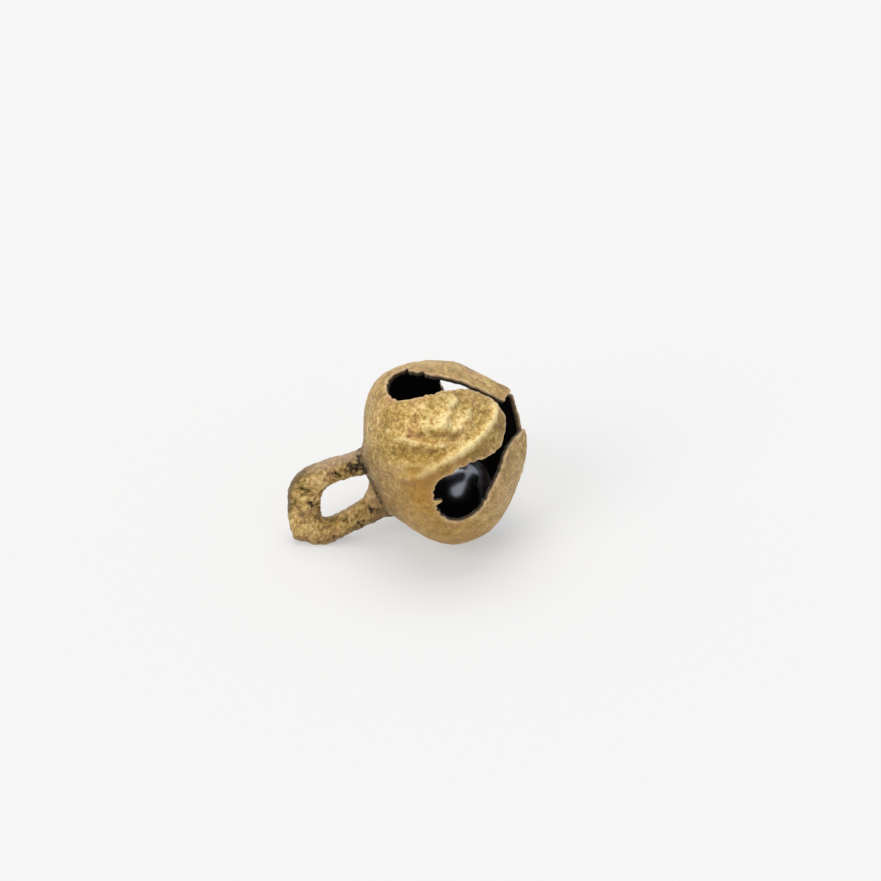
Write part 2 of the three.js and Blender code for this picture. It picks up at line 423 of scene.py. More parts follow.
# %% Row where the crown meets the petals
QUARTER = SLOT_COLUMNS + PETAL_COLUMNS
columns = len(order) * QUARTER
joint_row = np.zeros((columns + 1, 2))
shares = np.linspace(0, 1, PETAL_COLUMNS + 1)[:, None]
for number in range(len(order)):
    beyond, turned = after(number)
    first = number * QUARTER
    joint_row[first:first + SLOT_COLUMNS + 1] = noses[number]
    right_corner = low_edges[beyond][0] + turned
    petal_top = noses[number][-1] * (1 - shares) + right_corner * shares
    joint_row[first + SLOT_COLUMNS:first + QUARTER + 1] = petal_top
print("joint row of", len(joint_row), "points")

# %% Crown of the blank
WALK_STEPS = 400
steps = np.linspace(0, pole, WALK_STEPS)
radii = wall_radius(steps)
rises = np.diff(np.minimum(steps, CROWN_HEIGHT))
walk = np.concatenate([[0], np.cumsum(np.hypot(rises, np.diff(radii)))])
row_shares = np.interp(np.linspace(0, walk[-1], CROWN_ROWS + 1), walk, steps)[::-1] / pole
crown_rows = []
for share in row_shares:
    row = joint_row.copy()
    row[:, 1] = joint_row[:, 1] + (pole - joint_row[:, 1]) * share
    crown_rows.append(row)
points = [np.vstack(crown_rows)]
faces = []
width = columns + 1
for i in range(CROWN_ROWS):
    for j in range(columns):
        faces.append((i * width + j, (i + 1) * width + j, (i + 1) * width + j + 1, i * width + j + 1))
print("crown:", len(faces), "faces")

# %% Petals of the blank
over = np.linspace(0, 1, PETAL_COLUMNS + 1)[None, :, None]
down = np.linspace(0, 1, PETAL_ROWS + 1)[:, None, None]
for number in range(len(order)):
    beyond, turned = after(number)
    first = CROWN_ROWS * width + number * QUARTER + SLOT_COLUMNS
    top = crown_rows[-1][number * QUARTER + SLOT_COLUMNS:][:PETAL_COLUMNS + 1]
    left = high_edges[number]
    right = low_edges[beyond] + turned
    tip = tips[number]
    film = (1 - over) * left[:, None] + over * right[:, None] + (1 - down) * top[None] + down * tip[None]
    film -= (1 - over) * (1 - down) * left[0] + over * (1 - down) * right[0]
    film -= (1 - over) * down * left[-1] + over * down * right[-1]
    base = sum(len(block) for block in points)
    points.append(film[1:].reshape(-1, 2))
    index = np.arange(PETAL_ROWS * (PETAL_COLUMNS + 1)).reshape(PETAL_ROWS, -1) + base
    index = np.vstack([np.arange(first, first + PETAL_COLUMNS + 1), index])
    for i in range(PETAL_ROWS):
        for j in range(PETAL_COLUMNS):
            faces.append((index[i, j], index[i + 1, j], index[i + 1, j + 1], index[i, j + 1]))
pattern = np.vstack(points)
print("blank:", len(pattern), "points and", len(faces), "faces")

# %% [markdown]
# ## Folds and dents
# The petals were bent in with a hammer, which left folds and dents. A fold is a ridge along a drawn line
# and a dent is a round hollow or bulge. The front petal has a hem: outside its longest fold the metal lies
# lower. They make two numbers for each point, in mm outwards. Bent is for the broad dents, which both sides
# of the wall follow. Raised is for the rest, which shows on the outer side only. Sculpting by hand would do
# too, but a drawn fold can be moved by changing a number.

# %% Measuring on the blank
angles = pattern[:, 0] / BELLY
radius = wall_radius(pattern[:, 1])
shrink = radius / BELLY
print("radius from", radius.min().round(2), "to", radius.max().round(2), "mm")

# %% Ripples over the blank
HEADINGS = 10


def ripple(length, seed):
    """Smooth seeded waves over the blank, mostly between -1 and 1, with crests about a length in mm apart."""
    dice = np.random.RandomState(seed)
    total = np.zeros(len(pattern))
    for heading in np.linspace(0, math.pi, HEADINGS, endpoint=False):
        way = np.array([math.cos(heading), math.sin(heading)])
        crests = pattern @ way / (length * dice.uniform(0.7, 1.5))
        total += np.sin(2 * math.pi * (crests + dice.uniform()))
    return total / 4


WANDER_LENGTH = 1.3
wander = np.column_stack([ripple(WANDER_LENGTH, 5), ripple(WANDER_LENGTH, 6)])
print("ripples from", wander.min().round(2), "to", wander.max().round(2))

# %% Distance to a drawn line, and to a place
LINE_POINTS = 60


def line_field(places, wandering=0.0):
    """Distance in mm along the wall to a drawn line that may wander, and 1 on its left or -1 on its right."""
    line = drawn_line(places, LINE_POINTS)
    apart = (pattern + wandering * wander)[:, None] - line[None]
    apart[:, :, 0] *= shrink[:, None]
    gaps = np.linalg.norm(apart, axis=2)
    nearest = gaps.argmin(1)
    run = np.gradient(line, axis=0)[nearest]
    offset = apart[np.arange(len(pattern)), nearest]
    return gaps.min(1), np.sign(run[:, 0] * offset[:, 1] - run[:, 1] * offset[:, 0])


def bump_at(height, angle, breadth):
    """1 at one place on the wall, falling to 0 over a breadth in mm."""
    x, y = flat_point(angle, height)
    turn = WHOLE_TURN[0]
    sideways = ((pattern[:, 0] - x + turn / 2) % turn - turn / 2) * shrink
    return np.exp(-(sideways**2 + (pattern[:, 1] - y) ** 2) / breadth**2)


close_by = bump_at(-3, 316, 1.0) > 1 / math.e
print("points within 1 mm of the front petal's middle:", int(close_by.sum()))

# %% Folds and dents: height above the belly, degrees round the bell, then breadth and rise in mm
HEM = [(-7.5, 324), (-7.0, 309), (-6.0, 300), (-4.9, 296), (-3.6, 294), (-1.3, 293), (1.3, 292), (2.5, 293)]
FOLDS = [
    ([(1.3, 317), (0.4, 312), (-0.4, 308), (-1.2, 305), (-2.2, 302)], 0.24, 0.26),
    ([(1.4, 312), (0.4, 308), (-0.5, 304), (-1.4, 302)], 0.28, -0.16),
    ([(0.4, 316), (-0.3, 315), (-1.6, 312), (-2.6, 308), (-3.6, 305), (-4.3, 305)], 0.28, -0.2),
    ([(-1.4, 316), (-2.7, 313), (-3.5, 312), (-4.3, 308)], 0.45, 0.18),
    ([(3.2, 306), (2.3, 303), (1.2, 299), (0.3, 297)], 0.28, 0.22),
    ([(3.4, 296), (2.2, 293), (1.0, 292), (-0.3, 292)], 0.3, 0.16),
    ([(3.6, 291), (1.9, 288), (0.5, 286)], 0.4, -0.1),
    ([(-4.4, 331), (-4.0, 324), (-3.4, 319), (-2.9, 316)], 0.6, 0.3),
    ([(-4.9, 328), (-4.2, 320), (-3.6, 316)], 0.25, -0.16),
    ([(-5.8, 323), (-5.3, 317), (-4.8, 313)], 0.3, 0.14),
]
HAMMER_MARKS = [
    (-5.3, 326, 0.25, -0.2), (-5.7, 318, 0.25, -0.18), (-6.3, 322, 0.25, -0.2), (-5.7, 312, 0.22, -0.16),
    (-6.5, 315, 0.22, -0.18), (0.3, 306, 0.3, -0.1), (-1.2, 302, 0.3, -0.12),
]
DENTS = [
    (-8.4, 35, 2.4, 0.6), (-8.0, 80, 1.2, 0.4), (-7.9, 108, 2.0, 0.4), (-8.2, 195, 2.0, 0.22),
    (-5.2, 215, 2.0, -0.28), (-1.0, 211, 2.6, 0.12), (-1.5, 30, 2.5, -0.12), (-5.5, 30, 2.0, 0.15),
    (5.0, 3, 1.8, -0.5), (4.9, 290, 2.3, -0.75), (4.9, 110, 2.3, -0.55),
]
print(len(FOLDS), "folds,", len(HAMMER_MARKS), "hammer marks and", len(DENTS), "dents")

# %% What is raised and what is bent
CREST_BREADTH = 0.4
MARGIN_BREADTH = 1.8
HEM_RISE = 0.4
MARGIN_DEPTH = 0.12
HEM_FADE = 2.4
FOLD_WANDER = 0.14
FOLD_STRENGTH = 1.3
hem_gap, hem_side = line_field(HEM)
crest = np.exp(-((hem_gap / CREST_BREADTH) ** 2))
margin = (hem_side > 0) * (1 - crest) * np.exp(-((hem_gap / MARGIN_BREADTH) ** 2))
fading = np.clip(1.1 - pattern[:, 1] / HEM_FADE, 0, 1)
hem = crest * fading
folds = np.zeros(len(pattern))
for places, breadth, rise in FOLDS:
    folds += rise * np.exp(-((line_field(places, FOLD_WANDER)[0] / breadth) ** 2))
creases = HEM_RISE * hem - MARGIN_DEPTH * margin * fading
creases += FOLD_STRENGTH * folds * (1 + 0.5 * ripple(1.6, 9))
raised = creases.copy()
for height, angle, breadth, rise in HAMMER_MARKS:
    raised += rise * bump_at(height, angle, breadth)
bent = np.zeros(len(pattern))
for height, angle, breadth, rise in DENTS:
    bent += rise * bump_at(height, angle, breadth)
print("folds from", creases.min().round(2), "to", creases.max().round(2), "mm")

# %% [markdown]
# ## Neck
# Where the loop stands, the crown rises into a neck with a hollow curve, as brass does when it is cast or
# brazed. A separate ring would show a seam, so the neck is part of what is raised: a collar that fades away
# from the loop's foot, slowly in front of the loop and behind it, and quickly at its two narrow sides.

# %% Collar round the loop's foot
LOOP_TURN = math.radians(20)
FOOT_HALF = (3.0, 0.9)
NARROW_FADE = 4.0
NECK_HEIGHT = 0.8
NECK_RUN = 1.0
loop_across = np.abs(radius * np.cos(angles - LOOP_TURN))
loop_through = np.abs(radius * np.sin(angles - LOOP_TURN))
past_sides = np.maximum(loop_across - FOOT_HALF[0], 0) * NARROW_FADE
outside = np.hypot(past_sides, np.maximum(loop_through - FOOT_HALF[1], 0))
CROWN_FROM = 2
on_crown = pattern[:, 1] > CROWN_FROM
neck = np.where(on_crown, np.exp(-outside / NECK_RUN), 0)
raised += NECK_HEIGHT * neck
print("raised from", raised.min().round(2), "to", raised.max().round(2), "mm")

# %% [markdown]
# ## Worn, dirty and painted places
# Years of rubbing brighten what stands out: the crests of the folds, the burr and the rims of the slots,
# which also carry a painted highlight, as does a broad patch in the middle of the front petal. Dirt and
# painted shade
# darken what lies low or sheltered: the margin beside the slots, the hollows and the neck, with soot and
# painted shade at the neck. The underside and the lower front get a darker, warmer brown as painted shade,
# and the petals that look up and down are dusty, with a painted grey sheen. Painting by hand would do for one
# bell.
# Numbers on the points let the brass follow any folds and slots.

# %% Distance to the nearest edge
CHUNK = 2000
edge_points = np.vstack([*noses, *low_edges, low_edges[0] + WHOLE_TURN, *high_edges, *tips])
edge_gap = np.zeros(len(pattern))
for start in range(0, len(pattern), CHUNK):
    chunk = slice(start, start + CHUNK)
    apart = pattern[chunk, None] - edge_points[None]
    apart[:, :, 0] *= shrink[chunk, None]
    edge_gap[chunk] = np.linalg.norm(apart, axis=2).min(1)
print("points on an edge:", int((edge_gap == 0).sum()))

# %% Wear and painted highlight, dirt, soot and painted shade, dust and painted sheen on the shell
RIM_BREADTH = 0.16
DIRT_FROM_EDGE = 0.6
DIRT_BREADTH = 0.5
FULL_FOLD = 0.45
FULL_HOLLOW = 0.2
burr = bump_at(0.4, 272, 0.5)
# Filed rims with a painted highlight along every slot edge.
rim = np.exp(-((edge_gap / RIM_BREADTH) ** 2))
rim *= 1 - 0.8 * burr
# Wear and painted highlight: the fold crests, the hem, the burr and a broad patch in the middle of the front
# petal are lighter.
worn = np.clip(folds / FULL_FOLD, 0, 1) + 1.1 * hem + 0.35 * bump_at(-3.0, 316, 3.2)
worn += 2.5 * burr
# Dirt and painted shade: the hollows of the folds, a band beside the slot edges and the neck are darker.
dirt_and_shade = 1.2 * np.clip(-creases / FULL_HOLLOW, 0, 1)
dirt_and_shade += 0.5 * np.exp(-(((edge_gap - DIRT_FROM_EDGE) / DIRT_BREADTH) ** 2))
dirt_and_shade += 1.3 * np.sqrt(neck) * (1 + 0.6 * ripple(0.9, 12))
# Soot and painted shade at the neck.
soot_and_shade = 1.1 * neck
# Painted shade round the neck, where the loop meets the crown.
painted_shade = np.cbrt(neck) * (0.9 + 0.6 * ripple(0.8, 13))
# Painted shade: the underside and the lower front are a darker, warmer brown.
painted_warm_shade = 1.3 * bump_at(1.0, 283, 3.2) + bump_at(1.5, 225, 5.0)
# Dust and painted sheen: the petals that look up and down turn grey tan.
dust_and_sheen = bump_at(-4.0, 25, 4.5) + bump_at(-5.0, 240, 3.5)
print("worn up to", worn.max().round(2), "and stained up to", dirt_and_shade.max().round(2))

# %% [markdown]
# ## The blank as a mesh
# The numbers travel on the mesh as attributes. Vertex groups could hold them too, but only from 0 to 1. Two
# more of them keep the mesh clean. Calm quietens the skin at the pole under the loop, where the grid's
# columns run together, and lid marks the crown's flat top, under which the inner wall is smoothed.

# %% Mesh of the blank
CALM_RADIUS = 1.1
LID_RADIUS = 4.8
calm = np.exp(-((radius / CALM_RADIUS) ** 4)) * on_crown
lid = np.exp(-((radius / LID_RADIUS) ** 8)) * on_crown
blank_mesh = bpy.data.meshes.new("blank")
blank_mesh.from_pydata(np.column_stack([pattern * MM, np.zeros(len(pattern))]).tolist(), [], faces)
shell_numbers = {
    "bent": bent * MM, "raised": raised * MM, "worn": worn, "dirt_and_shade": dirt_and_shade, "soot_and_shade": soot_and_shade,
    "painted_shade": painted_shade, "rim": rim, "painted_warm_shade": painted_warm_shade, "dust_and_sheen": dust_and_sheen, "calm": calm, "lid": lid,
}


def write_numbers(mesh, numbers):
    """Keeps one number for each point under each name."""
    for name, values in numbers.items():
        kept = mesh.attributes.new(name, "FLOAT", "POINT")
        kept.data.foreach_set("value", values.astype(np.float32))


write_numbers(blank_mesh, shell_numbers)
blank = bpy.data.objects.new("blank", blank_mesh)
bpy.context.scene.collection.objects.link(blank)
print("blank mesh with", ", ".join(shell_numbers))

# %% [markdown]
# ## Rules as trees
# A shape that follows a rule is made by a Geometry Nodes tree, with its sizes as named inputs. A mesh could
# be worked out in numbers, as the blank was, but a tree takes another piece and other sizes without a change.

# %% Helpers for rules


def add_node(tree, kind, inputs, **settings):
    """A node with its settings made and its inputs fed. What comes back is its first output."""
    node = tree.nodes.new(kind)
    for name, value in settings.items():
        setattr(node, name, value)
    for name, value in inputs.items():
        feed(tree, node.inputs[name], value)
    return node.outputs[0]


def new_tree(name, sizes):
    """A Geometry Nodes tree with named inputs, and its input and output nodes."""
    tree = bpy.data.node_groups.new(name, "GeometryNodeTree")
    tree.interface.new_socket("Geometry", in_out="INPUT", socket_type="NodeSocketGeometry")
    tree.interface.new_socket("Geometry", in_out="OUTPUT", socket_type="NodeSocketGeometry")
    for label, kind in sizes.items():
        tree.interface.new_socket(label, in_out="INPUT", socket_type="NodeSocket" + kind)
    return tree, tree.nodes.new("NodeGroupInput"), tree.nodes.new("NodeGroupOutput")


def add_tree(piece, tree, values):
    """Puts a tree on a piece and sets its inputs by their identifiers."""
    modifier = piece.modifiers.new(tree.name, "NODES")
    modifier.node_group = tree
    for item in tree.interface.items_tree:
        if item.in_out == "INPUT" and item.name in values:
            modifier[item.identifier] = values[item.name]


print("made add_node, new_tree and add_tree")

# %% [markdown]
# ## Old brass
# The finish is brass that was cast in sand, handled for years and never polished: dull gold on the high
# places, brown in the hollows, with a sandy grain; the high places are also lighter and the hollows darker as
# painted light and shade. One tone from dark to bright follows a slow noise for the stains, a quick one for
# the grain, the worn places with their painted highlights and the height of the cast skin, which a tree below
# writes on the mesh. Layers go over it: patina, a warmer brown as painted shade, dust with a painted sheen,
# painted shade, dirt with painted shade, filed rims with a painted highlight, painted shade on the cut edges,
# and soot with painted shade in the pits. A photograph as texture would be quicker, but it fits one view. A
# little sheen stands for the dust that makes the turned-away sides grey.

# %% Helpers for materials


def new_material(name):
    """A new material with its tree, its shader and the place on the piece."""
    material = bpy.data.materials.new(name)
    material.use_nodes = True
    tree = material.node_tree
    shader = tree.nodes["Principled BSDF"]
    coordinates = tree.nodes.new("ShaderNodeTexCoord").outputs["Object"]
    return material, tree, shader, coordinates


def noise(tree, coordinates, size_mm, detail=4.0, roughness=0.6):
    """Noise with spots of about this size, from 0 to 1."""
    return add_node(tree, "ShaderNodeTexNoise", {
        "Vector": coordinates, "Scale": 1 / (size_mm * MM), "Detail": detail, "Roughness": roughness,
    })


print("made new_material and noise")

# %% Helpers for colours


def ramp(tree, factor, stops):
    """A colour for each factor from 0 to 1."""
    node = tree.nodes.new("ShaderNodeValToRGB")
    while len(node.color_ramp.elements) < len(stops):
        node.color_ramp.elements.new(0.5)
    for element, (position, colour) in zip(node.color_ramp.elements, stops):
        element.position = position
        element.color = (*colour, 1)
    feed(tree, node.inputs["Fac"], factor)
    return node.outputs["Color"]


def mix_colour(tree, factor, first, second):
    """The first colour where the factor is 0, the second where it is 1."""
    node = tree.nodes.new("ShaderNodeMix")
    node.data_type = "RGBA"
    feed(tree, node.inputs["Factor"], factor)
    feed(tree, node.inputs["A"], first)
    feed(tree, node.inputs["B"], second)
    return node.outputs["Result"]


def attribute(tree, name):
    """A number that the mesh keeps on its points."""
    node = tree.nodes.new("ShaderNodeAttribute")
    node.attribute_name = name
    return node.outputs["Fac"]


def up_to(tree, value, most):
    """The value, but not under 0 or over a limit."""
    return calc(tree, "MAXIMUM", calc(tree, "MINIMUM", value, most), 0.0)


print("made ramp, mix_colour, attribute and up_to")

# %% Tone of the brass
# The skin share makes the high places of the cast skin lighter and the low ones darker: wear and dirt, and
# also painted light and shade.
TONE_SHARES = {"stain": 0.5, "skin": 1.6, "worn": 0.42, "dirt_and_shade": -0.1}


def brass_tone(tree, parts, contrast):
    """From dark to bright: grain and plates round a middle tone, then what darkens and brightens them."""
    plates = calc(tree, "MULTIPLY_ADD", parts["plate"], 0.6, -0.08 - contrast / 2)
    tone = calc(tree, "MULTIPLY_ADD", parts["grain"], contrast, plates)
    for part, share in TONE_SHARES.items():
        tone = calc(tree, "MULTIPLY_ADD", parts[part], share, tone)
    return tone


print("tone follows grain, plate,", ", ".join(TONE_SHARES))

# %% Layers over the brass
PATINA = [(0.36, (0.3, 0.25, 0.05)), (0.5, (0.57, 0.4, 0.13)), (0.64, (0.8, 0.48, 0.26))]
LAYERS = [
    # Painted shade: a darker, warmer brown on the underside, the lower front and the loop's lower limb.
    {"kept": "painted_warm_shade", "share": 0.55, "most": 0.7, "colour": (0.48, 0.245, 0.03, 1)},
    # Dust and painted sheen: grey tan.
    {"kept": "dust_and_sheen", "share": 0.25, "most": 0.3, "colour": (0.6, 0.43, 0.28, 1)},
    # Painted shade: a dark brown where the kept number is high.
    {"kept": "painted_shade", "share": 0.6, "most": 1.0, "colour": (0.13, 0.08, 0.038, 1)},
]
# Filed metal and a painted highlight along the rims of the slots.
FILED_AND_HIGHLIGHT_COLOUR = (0.78, 0.57, 0.35, 1)
# Painted shade on the cut edges of the wall.
CUT_EDGE_SHADE_COLOUR = (0.06, 0.036, 0.016, 1)
# Almost black, for soot and painted shade in the pits, at the neck and at the loop's foot.
SOOT_AND_SHADE_COLOUR = (0.03, 0.019, 0.01, 1)


def brass_layers(tree, here, parts, colour, dirt_and_shade_colour):
    """Patina, painted warm shade, dust and painted sheen, painted shade, dirt and painted shade, filed rims
    with painted highlight, painted shade on cut edges, then soot and painted shade.
    """
    drift = ramp(tree, noise(tree, here, 1.7, 3.0, 0.6), PATINA)
    patina = calc(tree, "MULTIPLY_ADD", calc(tree, "MINIMUM", parts["worn"], 1.0), -0.25, 0.3)
    colour = mix_colour(tree, patina, colour, drift)
    for layer in LAYERS:
        amount = calc(tree, "MULTIPLY", attribute(tree, layer["kept"]), layer["share"])
        colour = mix_colour(tree, calc(tree, "MINIMUM", amount, layer["most"]), colour, layer["colour"])
    # Dirt and painted shade: hollows, the neck and the slot margins go towards the dirt colour.
    dirt_and_shade_amount = calc(tree, "MINIMUM", calc(tree, "MULTIPLY", parts["dirt_and_shade"], 0.35), 0.7)
    colour = mix_colour(tree, dirt_and_shade_amount, colour, dirt_and_shade_colour)
    # Filed rims with a painted highlight: a pale band along the edges of the slots.
    filed_and_highlight = calc(tree, "MULTIPLY_ADD", parts["plate"], 2.0, -0.35)
    filed_and_highlight = up_to(tree, calc(tree, "MULTIPLY", attribute(tree, "rim"), filed_and_highlight), 0.75)
    colour = mix_colour(tree, filed_and_highlight, colour, FILED_AND_HIGHLIGHT_COLOUR)
    # Painted shade on the cut edges, darkest towards the inside.
    cut = calc(tree, "MINIMUM", calc(tree, "MULTIPLY", attribute(tree, "inward"), 1.8), 0.95)
    colour = mix_colour(tree, cut, colour, CUT_EDGE_SHADE_COLOUR)
    # Soot and painted shade: the low places of the cast skin, the neck, the loop's foot and some loop spots
    # go almost black.
    pit = calc(tree, "MULTIPLY_ADD", parts["skin"], -4.0, -0.45)
    soot_and_shade = attribute(tree, "soot_and_shade")
    flake = calc(tree, "MULTIPLY_ADD", noise(tree, here, 0.35, 2.0, 0.5), 9.0, -5.2)
    soot_and_shade_mix = calc(tree, "MULTIPLY_ADD", soot_and_shade, 1.6, flake)
    soot_and_shade_mix = calc(tree, "MULTIPLY", soot_and_shade_mix, calc(tree, "MINIMUM", soot_and_shade, 1.0))
    soot_and_shade_mix = up_to(tree, calc(tree, "MAXIMUM", pit, soot_and_shade_mix), 0.9)
    return mix_colour(tree, soot_and_shade_mix, colour, SOOT_AND_SHADE_COLOUR)


print("layers that follow the mesh:", ", ".join(layer["kept"] for layer in LAYERS))

# %% Brass for the shell and the loop


def cast_brass(name, stops, dirt_and_shade_colour, grain_mm, contrast, bump_mm):
    """Old brass: a tone from dark to bright, the layers over it, dull gloss, sheen and a fine bump."""
    material, tree, shader, here = new_material(name)
    grain = noise(tree, here, grain_mm, 3.0, 0.75)
    parts = {
        "grain": grain, "plate": noise(tree, here, 0.9, 2.0, 0.5), "stain": noise(tree, here, 2.2, 3.0, 0.55),
        "skin": attribute(tree, "skin"), "worn": attribute(tree, "worn"),
        "dirt_and_shade": attribute(tree, "dirt_and_shade"),
    }
    colour = ramp(tree, brass_tone(tree, parts, contrast), stops)
    feed(tree, shader.inputs["Base Color"], brass_layers(tree, here, parts, colour, dirt_and_shade_colour))
    shader.inputs["Metallic"].default_value = 0.7
    feed(tree, shader.inputs["Roughness"], calc(tree, "MULTIPLY_ADD", grain, 0.3, 0.35))
    shader.inputs["Sheen Weight"].default_value = 0.22
    shader.inputs["Sheen Roughness"].default_value = 0.25
    shader.inputs["Sheen Tint"].default_value = (0.8, 0.78, 0.75, 1)
    sand = noise(tree, here, grain_mm * 1.8, 5.0, 0.7)
    bump = add_node(tree, "ShaderNodeBump", {"Strength": 1.0, "Distance": bump_mm * MM, "Height": sand})
    feed(tree, shader.inputs["Normal"], bump)
    print(name, "has", len(tree.nodes), "nodes")
    return material


old_brass = cast_brass("old_brass", [
    (0.15, (0.13, 0.065, 0.018)), (0.4, (0.45, 0.26, 0.062)),
    (0.58, (0.67, 0.465, 0.145)), (0.85, (0.96, 0.8, 0.41)),
], (0.34, 0.2, 0.08, 1), 0.34, 1.7, 0.34)
pitted_brass = cast_brass("pitted_brass", [
    (0.15, (0.07, 0.037, 0.013)), (0.4, (0.4, 0.24, 0.075)),
    (0.58, (0.7, 0.48, 0.18)), (0.85, (0.97, 0.79, 0.43)),
], (0.52, 0.38, 0.25, 1), 0.4, 1.8, 0.4)

# %% [markdown]
# ## Painted shade inside
# The inside is painted shade: a black brown that hardly shines, for the shadow in the hollow shell. Plain
# black would do from afar, but beside the slots the wall catches some light, so it is a rough coat between
# two very dark browns.

# %% Coat of painted shade
painted_shade_inside, tree, shader, here = new_material("painted_shade_inside")
# A near-black brown: painted shade inside the shell.
soot_and_shade_mix = ramp(tree, noise(tree, here, 1.2), [(0.3, (0.004, 0.0035, 0.003)), (0.7, (0.012, 0.009, 0.006))])
feed(tree, shader.inputs["Base Color"], soot_and_shade_mix)
shader.inputs["Roughness"].default_value = 0.85
shader.inputs["Specular IOR Level"].default_value = 0.1
print("painted_shade_inside has", len(tree.nodes), "nodes")

# %% [markdown]
# ## Rolling the blank into a bell
# The shell's shape is a rule, so a Geometry Nodes tree does the rolling. A lathe would make the body too, but
# not the petals. The tree turns each point's place on the page into an angle, a radius and a height, closes
# the seam and the pole, and bends the sheet by its dents. It also keeps which way is out, a little blurred so
# that the pushes don't cross at corners. The sizes are the tree's inputs: change the belly or the mouth and
# the same blank rolls into another bell.

# %% Tree that rolls the blank, its radius and height
roll_up, given, result = new_tree("roll_up", {
    "Belly": "Float", "Crown Height": "Float", "Crown Fullness": "Float", "Land": "Float",
    "Mouth Depth": "Float", "Mouth Fullness": "Float", "Mouth Run": "Float", "Metal": "Material",
})
size = given.outputs
page = roll_up.nodes.new("ShaderNodeSeparateXYZ")
feed(roll_up, page.inputs[0], roll_up.nodes.new("GeometryNodeInputPosition").outputs[0])
round_angle = calc(roll_up, "DIVIDE", page.outputs["X"], size["Belly"])
along = page.outputs["Y"]

above = calc(roll_up, "MINIMUM", calc(roll_up, "MAXIMUM", along, 0.0), size["Crown Height"])
crown_share = calc(roll_up, "DIVIDE", above, size["Crown Height"])
crown_share = calc(roll_up, "POWER", crown_share, size["Crown Fullness"])
draw_in = calc(roll_up, "MULTIPLY", calc(roll_up, "SUBTRACT", size["Belly"], size["Land"]), crown_share)
over_land = calc(roll_up, "MAXIMUM", calc(roll_up, "SUBTRACT", along, size["Crown Height"]), 0.0)
crown_radius = calc(roll_up, "SUBTRACT", calc(roll_up, "SUBTRACT", size["Belly"], draw_in), over_land)

below = calc(roll_up, "DIVIDE", calc(roll_up, "MINIMUM", along, 0.0), size["Mouth Run"])
mouth_power = calc(roll_up, "DIVIDE", 2.0, size["Mouth Fullness"])
mouth_share = calc(roll_up, "POWER", calc(roll_up, "COSINE", below), mouth_power)
mouth_radius = calc(roll_up, "MULTIPLY", size["Belly"], mouth_share)
mouth_height = calc(roll_up, "MULTIPLY", size["Mouth Depth"], calc(roll_up, "SINE", below))

is_crown = calc(roll_up, "GREATER_THAN", along, 0.0)
wider = calc(roll_up, "SUBTRACT", crown_radius, mouth_radius)
reach = calc(roll_up, "MULTIPLY_ADD", wider, is_crown, mouth_radius)
height = calc(roll_up, "ADD", above, mouth_height)
print("rule with", len(roll_up.nodes), "nodes")

# %% Tree that rolls the blank, closing it
WELD = 0.002 * MM
rolled = add_node(roll_up, "ShaderNodeCombineXYZ", {
    "X": calc(roll_up, "MULTIPLY", reach, calc(roll_up, "COSINE", round_angle)),
    "Y": calc(roll_up, "MULTIPLY", reach, calc(roll_up, "SINE", round_angle)),
    "Z": height,
})
sheet = add_node(roll_up, "GeometryNodeSetPosition", {"Geometry": size["Geometry"], "Position": rolled})
sheet = add_node(roll_up, "GeometryNodeMergeByDistance", {"Geometry": sheet, "Distance": WELD})
print("rule and rolled sheet with", len(roll_up.nodes), "nodes")

# %% Tree that rolls the blank, bending it
OUTWARD_BLUR = 8


def kept_number(tree, name, kind="FLOAT"):
    """A number or a direction that the mesh keeps on its points, 0 where it has none."""
    node = tree.nodes.new("GeometryNodeInputNamedAttribute")
    node.data_type = kind
    node.inputs["Name"].default_value = name
    return node.outputs["Attribute"]


def keep_number(tree, geometry, name, value, kind="FLOAT"):
    """The geometry with a number or a direction written on its points."""
    given_values = {"Geometry": geometry, "Name": name, "Value": value}
    return add_node(tree, "GeometryNodeStoreNamedAttribute", given_values, data_type=kind)


outward = add_node(roll_up, "GeometryNodeBlurAttribute", {
    "Value": roll_up.nodes.new("GeometryNodeInputNormal").outputs["Normal"], "Iterations": OUTWARD_BLUR,
}, data_type="FLOAT_VECTOR")
sheet = keep_number(roll_up, sheet, "outward", outward, "FLOAT_VECTOR")
dents = kept_number(roll_up, "bent")
push = add_node(roll_up, "ShaderNodeVectorMath", {0: outward, "Scale": dents}, operation="SCALE")
sheet = add_node(roll_up, "GeometryNodeSetPosition", {"Geometry": sheet, "Offset": push})
sheet = add_node(roll_up, "GeometryNodeRealizeInstances", {"Geometry": sheet})
sheet = add_node(roll_up, "GeometryNodeSetMaterial", {"Geometry": sheet, "Material": size["Metal"]})
feed(roll_up, result.inputs["Geometry"], sheet)
add_tree(blank, roll_up, {
    "Belly": BELLY * MM, "Crown Height": CROWN_HEIGHT * MM, "Crown Fullness": CROWN_FULLNESS,
    "Land": LAND * MM, "Mouth Depth": MOUTH_DEPTH * MM, "Mouth Fullness": MOUTH_FULLNESS,
    "Mouth Run": MOUTH_RUN * MM, "Metal": old_brass,
})
print("roll_up has", len(roll_up.nodes), "nodes")

# %% [markdown]
# ## Wall
# A ghungroo's wall is thinner than a coin. The rolled sheet has no thickness yet, and a smaller copy of it
# would leave the slots' rims open. Solidify gives it a wall on its inner side, closes the rims and marks
# the new inner points in a vertex group, so that the inside can stay smooth and have its own painted shade.

# %% Wall thickness
blank.vertex_groups.new(name="inside")
wall = blank.modifiers.new("wall", "SOLIDIFY")
wall.thickness = WALL * MM
wall.offset = -1
wall.shell_vertex_group = "inside"
print("wall of", WALL, "mm")

# %% [markdown]
# ## Cast skin
# Sand casting leaves a lumpy skin with a finer grain on it and pits where gas was caught. Bump in the
# material would look like it from the front, but not along the outline. One tree makes the skin for the
# shell and for the loop: it moves each point along its normal by seeded noise, and keeps that height for
# the colour. On the shell's outer side it also raises the folds and the neck. Then it lays the piece down
# and flattens what would go below the table.

